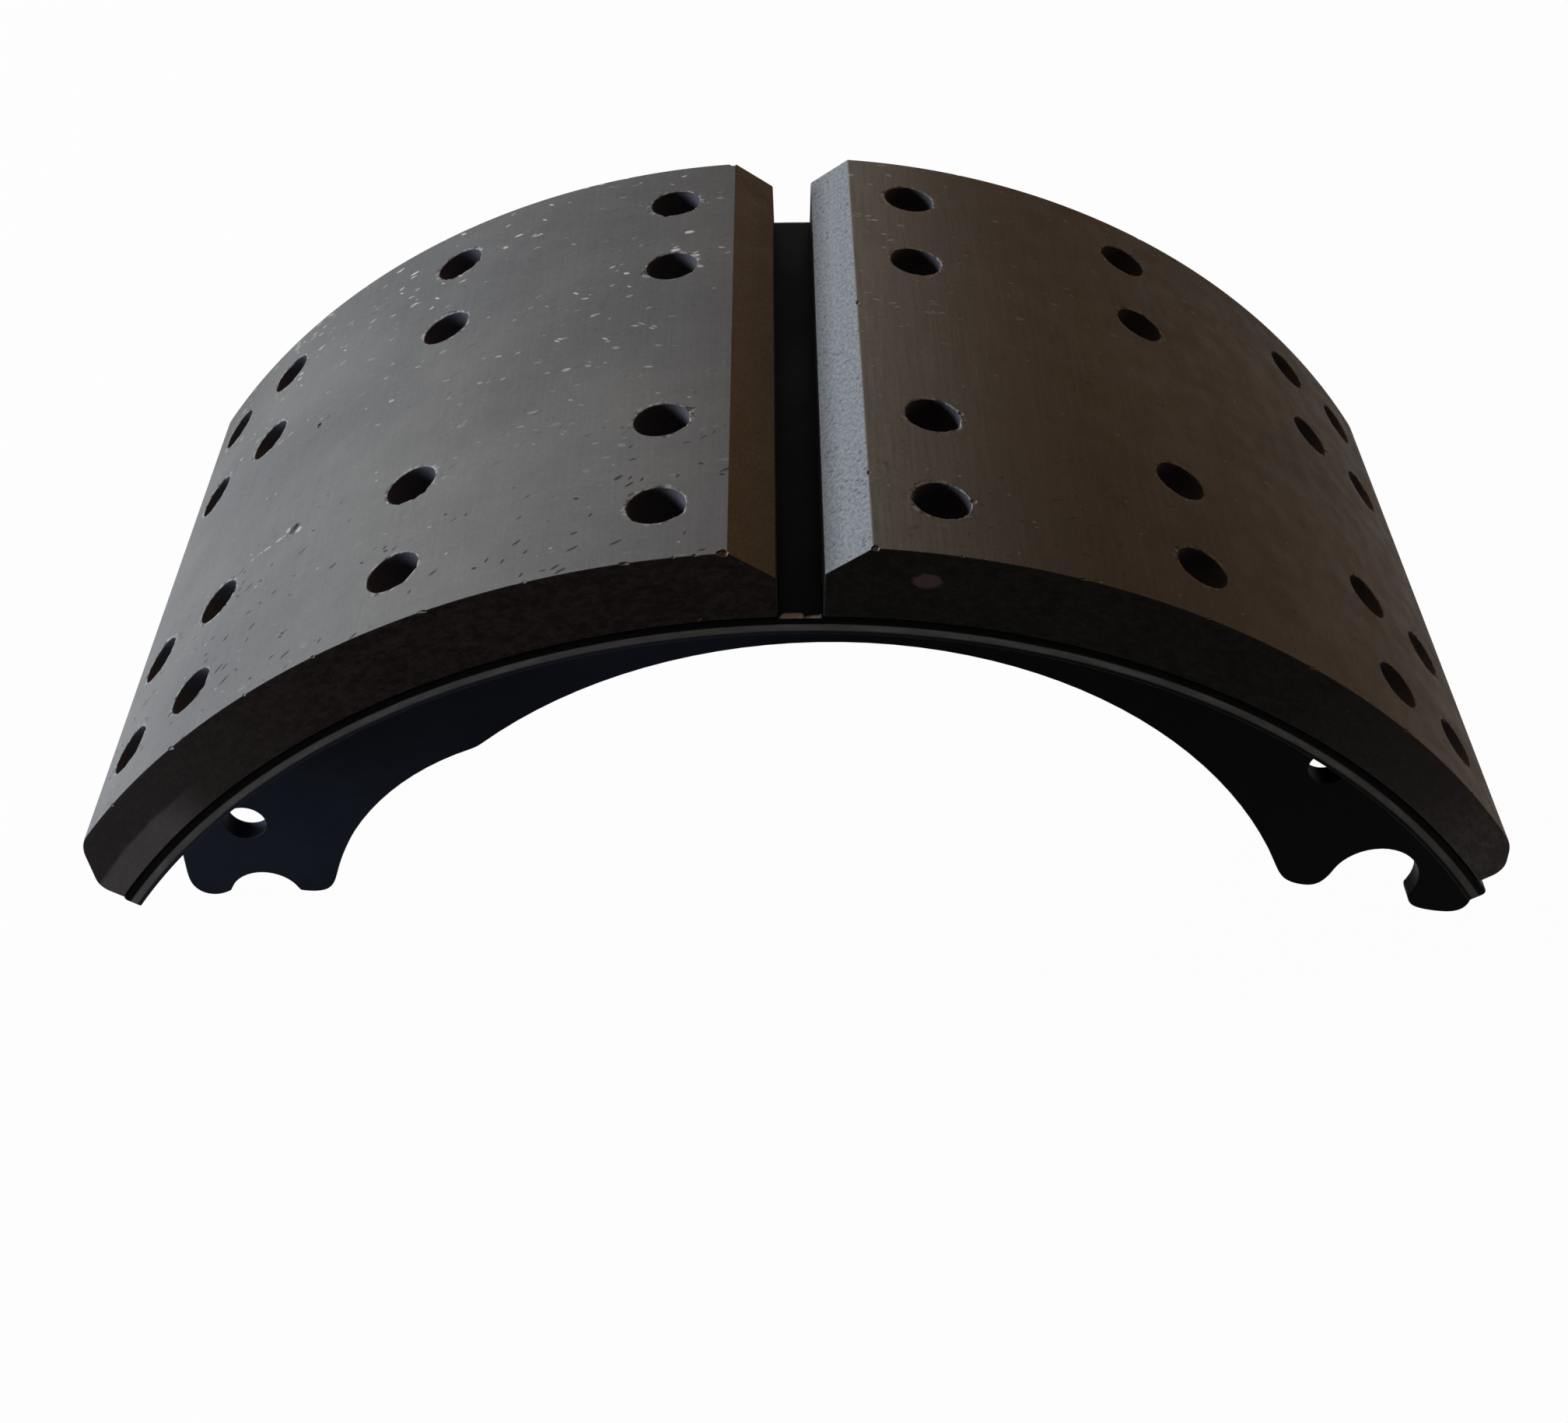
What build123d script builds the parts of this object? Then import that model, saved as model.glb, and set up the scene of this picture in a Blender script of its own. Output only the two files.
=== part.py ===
"""Drum brake shoe for a 16.5 x 7 inch S-cam brake: a welded steel shoe that carries two riveted linings.

X runs from the cam end to the anchor end, Y along the drum axis and Z up, in millimetres.
The shoe stands on the feet of its two webs at z = 0.
Side profiles are drawn about the centre of the table's arc, and angles are degrees from the vertical,
positive towards the anchor end.
"""

from build123d import *
import os
from math import asin, atan2, cos, degrees, hypot, radians, sin, sqrt, tan

os.makedirs("parts", exist_ok=True)

# ---------------------------------------------------------------- driving dimensions
shoe_width = 177.8  # table and linings, along the drum axis
middle_angle = -2.12  # the gap between the linings stands this far off the vertical
arc_centre_x = -7.15  # centre of the table's arc, with the whole shoe's length centred on x = 0

# table: a rolled plate
table_radius = 203.7  # face that carries the linings
table_thickness = 4.76
table_cam_span = 54.8  # from the middle to the table's end, cam side
table_anchor_span = 56.0
table_top_edge = 1.2  # rolled-over long edges under the linings
table_bottom_edge = 0.5

# lining blocks: both have the drum's radius on the face and the table's radius on the back
face_radius = 209.55
lining_half_span = 54.6  # from the middle to each block's outer end
lining_gap = 10.0
cam_thick, cam_thin = 18.1, 16.1  # block thickness at the two ends of its face
anchor_thick, anchor_thin = 19.0, 11.6
inner_chamfer, cam_outer_chamfer, anchor_outer_chamfer = 9.4, 10.6, 7.3  # length along the face
inner_chamfer_depth, cam_outer_depth, anchor_outer_depth = 7.3, 9.7, 5.0
face_end_round = 10.0  # soft edge between a block's face and its outer chamfer
outer_end_round = 6.0
inner_end_round = 0.8

# rivets
column_pitch = 16.25  # degrees between rivet columns
end_pitch = 6.8  # degrees between the last two columns
inner_row, outer_row = 35.56, 69.26  # rows, from the shoe's middle plane
rivet_radius = 3.15
rivet_clearance = 0.2
rivet_grip = 6.35  # lining left under each rivet head
head_radius = 6.0
head_thickness = 2.0
counterbore_radius = 6.5
tail_roll_width = 1.6  # how far the clinched tail spreads past the shank
tail_roll_height = 2.0
tail_bore_radius = 2.9  # mouth of the tubular tail
tail_bore_depth = 4.2
tail_seat_gap = 0.1  # the tail is flat and the table's inner face is curved

# webs
web_thickness = 6.35
web_tail_clearance = 1.4  # between a web and the nearest clinched tails
web_depth = 51.7  # at the middle of the arch
arch_offset, arch_rise = 6.5, 6.34  # the arch's centre, from the table arc's centre
relief_reach = 72.04  # from the table arc's centre to that of the smaller curve near the cam foot
relief_angle = -57.4
relief_depth = 51.1
relief_blend = 12.0  # rounds the point where the relief meets the arch
roller_angle = -72.55
roller_depth = 36.8  # roller axis, below the web's outer edge
roller_radius = 10.2
roller_foot_drop = 0.9  # outer foot stands this far above the roller axis
roller_lip_rise = 3.1  # inner foot, likewise
cam_foot_reach = 21.5  # from the roller axis to the web's cam end
cam_foot_round = 4.0
roller_mouth_round = 5.0
anchor_angle = 69.1
anchor_depth = 25.07
anchor_radius = 12.9
anchor_tilt = 20.0  # the open side of the anchor seat looks this far back from straight down
anchor_lip_slope = 14.5
anchor_lip_drop = 7.3  # lip line below the anchor axis, measured on the axis
anchor_foot_start, anchor_foot_reach = 21.5, 27.0  # flat of the outer foot, from the anchor axis
web_tip_angle = 74.3
foot_round = 2.8
pin_hole_radius = 5.95
cam_pin_angle, cam_pin_depth = -63.37, 23.5
anchor_pin_angle, anchor_pin_depth = 52.95, 22.5

# welds between the webs and the table
weld_leg = 4.5
weld_stitch = 9.0  # degrees; one stitch stands between each two rivet columns
weld_end_stitch = 5.0  # beyond the last rivet column at each end
weld_end_margin = 0.6  # degrees of table left past the last stitch

# ---------------------------------------------------------------- derived places
web_radius = table_radius - table_thickness  # table's inner face and the webs' outer edge
web_outer_face = inner_row - rivet_radius - tail_roll_width - web_tail_clearance
web_middle = web_outer_face - web_thickness / 2  # the webs run inside the two inner rows of rivets
half_gap_angle = lining_gap / 2 / radians(1) / table_radius


def polar(angle, radius):
    """Point in a side profile, about the centre of the table's arc."""
    return radius * sin(radians(angle)), radius * cos(radians(angle))


def shifted(point, across, up):
    """Point moved inside a side profile."""
    return point[0] + across, point[1] + up


def line_meets_circle(point, slope, centre, radius, way):
    """Where a line through a point crosses a circle: on its right with way 1, on its left with way -1."""
    along, rise = cos(radians(slope)), sin(radians(slope))
    across, up = centre[0] - point[0], centre[1] - point[1]
    off_centre = across * rise - up * along
    run = across * along + up * rise + way * sqrt(radius**2 - off_centre**2)
    return shifted(point, run * along, run * rise)


def walls_meet(first, first_slope, second, second_slope):
    """Where two lines cross, each through a point at a slope."""
    along, rise = cos(radians(first_slope)), sin(radians(first_slope))
    other_along, other_rise = cos(radians(second_slope)), sin(radians(second_slope))
    across, up = second[0] - first[0], second[1] - first[1]
    run = (across * other_rise - up * other_along) / (along * other_rise - rise * other_along)
    return shifted(first, run * along, run * rise)


def circles_meet(first, first_radius, second, second_radius):
    """The upper point where two circles cross; the second one's centre is left of the first one's."""
    across, up = second[0] - first[0], second[1] - first[1]
    apart = hypot(across, up)
    along = (first_radius**2 - second_radius**2 + apart**2) / (2 * apart)
    aside = sqrt(first_radius**2 - along**2)
    return shifted(first, (across * along + up * aside) / apart, (up * along - across * aside) / apart)


roller_axis = polar(roller_angle, web_radius - roller_depth)
anchor_axis = polar(anchor_angle, web_radius - anchor_depth)
foot_level = roller_axis[1] + roller_foot_drop
arc_centre_z = -foot_level

cam_columns = [middle_angle - column_pitch * (step + 0.5) for step in range(3)]
cam_columns.append(cam_columns[-1] - end_pitch)
anchor_columns = [middle_angle + column_pitch * (step + 0.5) for step in range(3)]
anchor_columns.append(anchor_columns[-1] + end_pitch)
rivet_rows = (-outer_row, -inner_row, inner_row, outer_row)


def side_plane(y):
    """Plane of a side profile at the given place along the drum axis, facing the front."""
    return Plane(origin=(arc_centre_x, y, arc_centre_z), x_dir=(1, 0, 0), z_dir=(0, -1, 0))


def rivet_location(angle, y, radius):
    """Place on a rivet's axis, with its own z pointing out through the lining."""
    across, up = polar(angle, radius)
    return Location((arc_centre_x + across, y, arc_centre_z + up), (0, angle, 0))


# ---------------------------------------------------------------- table
table_start = middle_angle - table_cam_span
table_end = middle_angle + table_anchor_span
with BuildPart() as table:
    with BuildSketch(side_plane(0)):
        with BuildLine():
            outside = CenterArc((0, 0), table_radius, 90 - table_end, table_end - table_start)
            inside = CenterArc((0, 0), web_radius, 90 - table_end, table_end - table_start)
            Line(outside @ 0, inside @ 0)
            Line(outside @ 1, inside @ 1)
        make_face()
    extrude(amount=shoe_width / 2, both=True)
    long_edges = table.edges().filter_by(GeomType.CIRCLE).sort_by(SortBy.RADIUS)
    chamfer(long_edges[-2:], table_top_edge)
    long_edges = table.edges().filter_by(GeomType.CIRCLE).sort_by(SortBy.RADIUS)
    chamfer([edge for edge in long_edges if abs(edge.radius - web_radius) < 0.01], table_bottom_edge)
    hole_places = [
        rivet_location(angle, y, table_radius) for angle in cam_columns + anchor_columns for y in rivet_rows
    ]
    with Locations(*hole_places):
        Hole(rivet_radius + rivet_clearance, depth=2 * table_thickness)
table.part.label = "shoe_table"
export_step(table.part, "parts/shoe_table.step")


# ---------------------------------------------------------------- webs
def web_outline():
    """Side profile of one web: an arched plate with a roller seat, an anchor seat and two pin holes."""
    tip = polar(web_tip_angle, web_radius)
    arch_centre = (arch_offset, arch_rise)
    arch_radius = web_radius - web_depth - arch_rise
    relief_centre = polar(relief_angle, relief_reach)
    relief_radius = web_radius - relief_depth - relief_reach
    lip_level = roller_axis[1] + roller_lip_rise
    heel = (roller_axis[0] - cam_foot_reach, foot_level)
    web_start = degrees(asin(heel[0] / web_radius))
    toe = (anchor_axis[0] + anchor_foot_reach, foot_level)
    toe_start = (anchor_axis[0] + anchor_foot_start, foot_level)
    lip_run = 2 * anchor_radius
    lip_line = shifted(anchor_axis, 0, -anchor_lip_drop)
    lip_start = shifted(lip_line, -lip_run * 1.5, lip_run * 1.5 * tan(radians(anchor_lip_slope)))
    lip_slope = degrees(atan2(foot_level - lip_line[1], anchor_foot_start))
    seat_ends = [polar(90 * way + anchor_tilt, anchor_radius) for way in (-1, 1)]
    seat_corners = [
        walls_meet(shifted(anchor_axis, *seat_end), 90 - anchor_tilt, lip_line, slope)
        for seat_end, slope in zip(seat_ends, (-anchor_lip_slope, lip_slope))
    ]
    with BuildSketch() as outline:
        with BuildLine():
            edge = CenterArc((0, 0), web_radius, 90 - web_tip_angle, web_tip_angle - web_start)
            Polyline(
                edge @ 1,
                heel,
                (roller_axis[0], foot_level),
                (roller_axis[0], lip_level),
                (arch_centre[0], lip_level),
                lip_start,
                lip_line,
                toe_start,
                toe,
                tip,
            )
        make_face()
        with Locations(arch_centre):
            Circle(arch_radius, mode=Mode.SUBTRACT)
        with Locations(relief_centre):
            Circle(relief_radius, mode=Mode.SUBTRACT)
        with Locations(roller_axis):
            Circle(roller_radius, mode=Mode.SUBTRACT)
        with Locations(Location((*anchor_axis, 0), (0, 0, -anchor_tilt))):
            Circle(anchor_radius, mode=Mode.SUBTRACT)
            Rectangle(2 * anchor_radius, lip_run, align=(Align.CENTER, Align.MAX), mode=Mode.SUBTRACT)
        with Locations(
            polar(cam_pin_angle, web_radius - cam_pin_depth),
            polar(anchor_pin_angle, web_radius - anchor_pin_depth),
        ):
            Circle(pin_hole_radius, mode=Mode.SUBTRACT)
        corners = (
            (heel, cam_foot_round),
            (line_meets_circle(heel, 0, roller_axis, roller_radius, -1), roller_mouth_round),
            (line_meets_circle((0, lip_level), 0, roller_axis, roller_radius, 1), foot_round * 0.6),
            (line_meets_circle((0, lip_level), 0, relief_centre, relief_radius, -1), foot_round),
            (circles_meet(arch_centre, arch_radius, relief_centre, relief_radius), relief_blend),
            (line_meets_circle(lip_line, -anchor_lip_slope, arch_centre, arch_radius, 1), foot_round),
            (seat_corners[0], foot_round),
            (seat_corners[1], foot_round),
            (toe_start, cam_foot_round * 2),
            (toe, foot_round),
            (tip, foot_round),
        )
        for corner, size in corners:
            fillet(outline.vertices().sort_by_distance((*corner, 0))[0], size)
    return outline.sketch


profile = web_outline()
for name, y in (("web_front", -web_middle), ("web_rear", web_middle)):
    with BuildPart() as web:
        with BuildSketch(side_plane(y)):
            add(profile)
        extrude(amount=web_thickness / 2, both=True)
    web.part.label = name
    export_step(web.part, f"parts/{name}.step")


# ---------------------------------------------------------------- lining blocks
def block_profile(inner_angle, outer_angle, thick, thin, outer_chamfer, outer_depth):
    """Side profile of a lining block, from its end at the middle gap to its outer end."""
    way = 1 if outer_angle > inner_angle else -1
    inner_face = inner_angle + way * inner_chamfer / radians(1) / face_radius
    outer_face = outer_angle - way * outer_chamfer / radians(1) / face_radius
    inner_foot = polar(inner_angle, table_radius)
    outer_foot = polar(outer_angle, table_radius)
    inner_top = polar(inner_angle, table_radius + thick - inner_chamfer_depth)
    outer_top = polar(outer_angle, table_radius + thin - outer_depth)
    face_start = polar(inner_face, table_radius + thick)
    face_end = polar(outer_face, table_radius + thin)
    with BuildSketch() as block:
        with BuildLine():
            first_angle = max(inner_angle, outer_angle)
            CenterArc((0, 0), table_radius, 90 - first_angle, abs(outer_angle - inner_angle))
            Polyline(inner_foot, inner_top, face_start)
            RadiusArc(face_start, face_end, way * face_radius)
            Polyline(face_end, outer_top, outer_foot)
        make_face()
        corners = (
            (face_end, face_end_round),
            (outer_top, outer_end_round),
            (face_start, inner_end_round),
            (inner_top, inner_end_round),
        )
        for corner, size in corners:
            fillet(block.vertices().sort_by_distance((*corner, 0))[0], size)
    return block.sketch


blocks = (
    ("lining_cam_block", cam_columns, -1, cam_thick, cam_thin, cam_outer_chamfer, cam_outer_depth),
    ("lining_anchor_block", anchor_columns, 1, anchor_thick, anchor_thin, anchor_outer_chamfer, anchor_outer_depth),
)
for name, columns, way, thick, thin, outer_chamfer, outer_depth in blocks:
    inner_angle = middle_angle + way * half_gap_angle
    outer_angle = middle_angle + way * lining_half_span
    side = block_profile(inner_angle, outer_angle, thick, thin, outer_chamfer, outer_depth)
    with BuildPart() as lining:
        with BuildSketch(side_plane(0)):
            add(side)
        extrude(amount=shoe_width / 2, both=True)
        seat_radius = table_radius + rivet_grip
        with Locations(*[rivet_location(angle, y, seat_radius + thick) for angle in columns for y in rivet_rows]):
            CounterBoreHole(
                rivet_radius + rivet_clearance, counterbore_radius, thick, depth=thick + 2 * rivet_grip
            )
    lining.part.label = name
    export_step(lining.part, f"parts/{name}.step")


# ---------------------------------------------------------------- rivets
def rivet_profile():
    """Half section of a clinched tubular rivet: y runs up its axis, from the head's seat in the lining."""
    tail_top = -rivet_grip - table_thickness - tail_seat_gap
    tail_end = tail_top - tail_roll_height
    with BuildSketch() as section:
        with BuildLine():
            Polyline(
                (0, tail_end + tail_bore_depth),
                (0, head_thickness),
                (head_radius, head_thickness),
                (head_radius, 0),
                (rivet_radius, 0),
                (rivet_radius, tail_top),
                (rivet_radius + tail_roll_width, tail_top),
                (tail_bore_radius, tail_end),
                close=True,
            )
        make_face()
    return section.sketch


half_rivet = rivet_profile()
along_drum = Vector(0, 1, 0)
row_pairs = (("inner", inner_row), ("outer", outer_row))
for end, columns in (("cam", cam_columns), ("anchor", anchor_columns)):
    for column, angle in enumerate(columns, 1):
        upward = Vector(sin(radians(angle)), 0, cos(radians(angle)))
        for pair, row in row_pairs:
            with BuildPart() as rivets:
                for y in (-row, row):
                    seat = rivet_location(angle, y, table_radius + rivet_grip).position
                    with BuildSketch(Plane(origin=seat, x_dir=along_drum, z_dir=along_drum.cross(upward))):
                        add(half_rivet)
                    revolve(axis=Axis(seat, upward))
            rivets.part.label = f"rivets_{end}_{column}_{pair}"
            export_step(rivets.part, f"parts/{rivets.part.label}.step")

# ---------------------------------------------------------------- welds
weld_arcs = [(middle_angle + column_pitch * step - weld_stitch / 2, weld_stitch) for step in range(-2, 3)]
weld_arcs.append((table_start + weld_end_margin, weld_end_stitch))
weld_arcs.append((table_end - weld_end_margin - weld_end_stitch, weld_end_stitch))
drum_axis = Axis((arc_centre_x, 0, arc_centre_z), (0, 1, 0))
weld_sides = (
    ("weld_front_outer", -web_middle - web_thickness / 2, -1),
    ("weld_front_inner", -web_middle + web_thickness / 2, 1),
    ("weld_rear_inner", web_middle - web_thickness / 2, -1),
    ("weld_rear_outer", web_middle + web_thickness / 2, 1),
)
for name, web_face, way in weld_sides:
    with BuildPart() as weld:
        for angle, stitch in weld_arcs:
            upward = Vector(sin(radians(angle)), 0, cos(radians(angle)))
            bead_plane = Plane(
                origin=(arc_centre_x, 0, arc_centre_z), x_dir=along_drum, z_dir=along_drum.cross(upward)
            )
            with BuildSketch(bead_plane):
                Polygon(
                    (web_face, web_radius),
                    (web_face + way * weld_leg, web_radius),
                    (web_face, web_radius - weld_leg),
                    align=None,
                )
            revolve(axis=drum_axis, revolution_arc=stitch)
    weld.part.label = name
    export_step(weld.part, f"parts/{name}.step")
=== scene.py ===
import random
from functools import reduce
from math import cos, pi, radians, sin

import bmesh
import bpy
from mathutils import Matrix, Vector, noise


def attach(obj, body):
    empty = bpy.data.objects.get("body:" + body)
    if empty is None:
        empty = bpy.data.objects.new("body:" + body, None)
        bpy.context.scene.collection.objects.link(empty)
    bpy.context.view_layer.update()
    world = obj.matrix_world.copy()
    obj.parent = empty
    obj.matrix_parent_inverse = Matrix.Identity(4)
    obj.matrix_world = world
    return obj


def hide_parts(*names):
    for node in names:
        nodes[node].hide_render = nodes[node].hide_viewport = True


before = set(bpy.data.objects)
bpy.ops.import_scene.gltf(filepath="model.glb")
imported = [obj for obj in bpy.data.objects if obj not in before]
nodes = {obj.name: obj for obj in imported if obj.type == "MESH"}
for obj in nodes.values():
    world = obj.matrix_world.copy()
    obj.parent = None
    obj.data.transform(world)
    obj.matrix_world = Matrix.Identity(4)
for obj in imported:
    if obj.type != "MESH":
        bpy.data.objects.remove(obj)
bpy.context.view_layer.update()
rng = random.Random(7)
scene = bpy.context.scene

# ---------------------------------------------------------------- sizes of the CAD model
# Lengths are in metres unless their name says mm, angles in degrees from straight up.
MM = 0.001
table_mm, face_mm = 203.7, 209.55  # radii of the table's outer face and of the drum faces
arc_x, arc_z = -7.15 * MM, -49.517 * MM  # centre of the table's arc
arc_centre = Vector((arc_x, arc_z))
table_radius, web_radius = table_mm * MM, 198.94 * MM  # outer and inner face of the table
face_radius = face_mm * MM
shoe_half = 88.9 * MM
middle_angle = -2.12
column_pitch, end_pitch = 16.25, 6.8
rows = (35.56 * MM, 69.26 * MM)  # rivet rows, from the middle plane
web_faces = (23.06 * MM, 29.41 * MM)  # inner and outer face of each web, likewise
table_angles = (middle_angle - 54.8, middle_angle + 56.0)
lining_half_span = 54.6
lining_half_gap_mm, inner_chamfer_mm = 5.0, 9.4
hole_radius, shank_hole = 6.5 * MM, 3.35 * MM
grip = 6.35 * MM  # lining left under a rivet head
columns = {}
for side, way in (("cam", -1), ("anchor", 1)):
    angles = [middle_angle + way * column_pitch * (k + 0.5) for k in range(3)]
    columns[side] = angles + [angles[-1] + way * end_pitch]


def polar(angle, radius, y=0.0):
    """Point about the table's arc centre, in the row frame."""
    a = radians(angle)
    return Vector((arc_x + radius * sin(a), y, arc_z + radius * cos(a)))


def arc_degrees(length, radius):
    """Angle that a length takes on an arc, both in one unit."""
    return length / radius * 180 / pi


def clamp(value):
    return min(1.0, max(0.0, value))


# ---------------------------------------------------------------- mesh helpers
def new_object(name, data):
    obj = bpy.data.objects.new(name, data)
    scene.collection.objects.link(obj)
    return obj


def from_bmesh(name, bm):
    bmesh.ops.recalc_face_normals(bm, faces=bm.faces)
    mesh = bpy.data.meshes.new(name)
    bm.to_mesh(mesh)
    bm.free()
    return new_object(name, mesh)


def apply_modifiers(obj):
    deps = bpy.context.evaluated_depsgraph_get()
    mesh = bpy.data.meshes.new_from_object(obj.evaluated_get(deps))
    old = obj.data
    obj.modifiers.clear()
    obj.data = mesh
    bpy.data.meshes.remove(old)


def smooth(obj, angle):
    """Smooth shading, sharp edges over the angle, and normals that follow the larger faces."""
    mesh = obj.data
    mesh.polygons.foreach_set("use_smooth", [True] * len(mesh.polygons))
    mesh.set_sharp_from_angle(angle=radians(angle))
    mod = obj.modifiers.new("normals", "WEIGHTED_NORMAL")
    mod.keep_sharp = True
    mod.weight = 80
    apply_modifiers(obj)


def subtract(obj, cutter):
    mod = obj.modifiers.new("cut", "BOOLEAN")
    mod.operation = "DIFFERENCE"
    mod.solver = "MANIFOLD"
    mod.object = cutter
    apply_modifiers(obj)
    bpy.data.objects.remove(cutter)


def front_loops(node):
    """Closed outlines (x, z) of a CAD node's front side face, longest first."""
    grid = 1e6  # points are matched to the nearest micrometre
    mesh = nodes[node].data
    points = [v.co.copy() for v in mesh.vertices]
    front = min(p.y for p in points)
    key = lambda p: (round(p.x * grid), round(p.z * grid))
    border = {}  # sides that only one triangle has, in the order they were met
    for poly in mesh.polygons:
        ids = list(poly.vertices)
        if all(abs(points[i].y - front) < 2 / grid for i in ids):
            for i, j in zip(ids, ids[1:] + ids[:1]):
                a, b = key(points[i]), key(points[j])
                if a == b:
                    continue
                if (b, a) in border:
                    del border[(b, a)]
                else:
                    border[(a, b)] = True
    following = {a: b for a, b in border}
    loops = []
    while following:
        at, loop = next(iter(following)), []
        while at in following:
            loop.append(Vector((at[0] / grid, at[1] / grid)))
            at = following.pop(at)
        loops.append(loop)
    length = lambda loop: sum((p - q).length for p, q in zip(loop, loop[1:] + loop[:1]))
    return sorted(loops, key=length, reverse=True)


def prism(name, loop, y0, y1, edge, segments):
    """Solid of an (x, z) outline between two planes, its long edges rounded."""
    bm = bmesh.new()
    a = [bm.verts.new((p[0], y0, p[1])) for p in loop]
    b = [bm.verts.new((p[0], y1, p[1])) for p in loop]
    caps = [bm.faces.new(a), bm.faces.new(b[::-1])]
    n = len(loop)
    for i in range(n):
        bm.faces.new((a[i], b[i], b[(i + 1) % n], a[(i + 1) % n]))
    bmesh.ops.recalc_face_normals(bm, faces=bm.faces)
    rim = list({e for f in caps for e in f.edges})
    bmesh.ops.bevel(bm, geom=rim, offset=edge, segments=segments, profile=0.5, affect="EDGES")
    return from_bmesh(name, bm)


def circle(bm, place, radius, height, steps):
    """Ring of vertices about the place's Z, or one vertex where the radius is 0."""
    turns = [2 * pi * k / steps for k in range(steps if radius else 1)]
    return [bm.verts.new(place @ Vector((radius * cos(a), radius * sin(a), height)))
            for a in turns]


def skin(bm, rings):
    """Adds the faces between rings of vertices. A ring of one vertex is a tip."""
    for low, high in zip(rings, rings[1:]):
        n = max(len(low), len(high))
        for k in range(n):
            j = (k + 1) % n
            if len(low) == 1:
                bm.faces.new((low[0], high[k], high[j]))
            elif len(high) == 1:
                bm.faces.new((low[k], low[j], high[0]))
            else:
                bm.faces.new((low[k], low[j], high[j], high[k]))


def lathe(bm, profile, place, steps=40):
    """Adds a closed turned form: profile is (radius, height) pairs from axis to axis."""
    skin(bm, [circle(bm, place, radius, height, steps) for radius, height in profile])


def rivet_place(angle, y):
    """Matrix under a rivet's head whose +Z points out through the lining."""
    spot = polar(angle, table_radius + grip, y)
    return Matrix.Translation(spot) @ Matrix.Rotation(radians(angle), 4, "Y")


# ---------------------------------------------------------------- material helpers
arc_scale = 0.22  # metres along the arc for each radian, in the looks


class Value:
    """An output of a node, to reckon with as with a number."""

    def __init__(self, look, socket):
        self.look = look
        self.socket = socket

    def output(self, name):
        """Another output of the same node."""
        return Value(self.look, self.socket.node.outputs[name])

    def __add__(self, other):
        return self.look.math("ADD", self, other)

    def __sub__(self, other):
        return self.look.math("SUBTRACT", self, other)

    def __rsub__(self, other):
        return self.look.math("SUBTRACT", other, self)

    def __mul__(self, other):
        return self.look.math("MULTIPLY", self, other)

    def __abs__(self):
        return self.look.math("ABSOLUTE", self)


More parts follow.
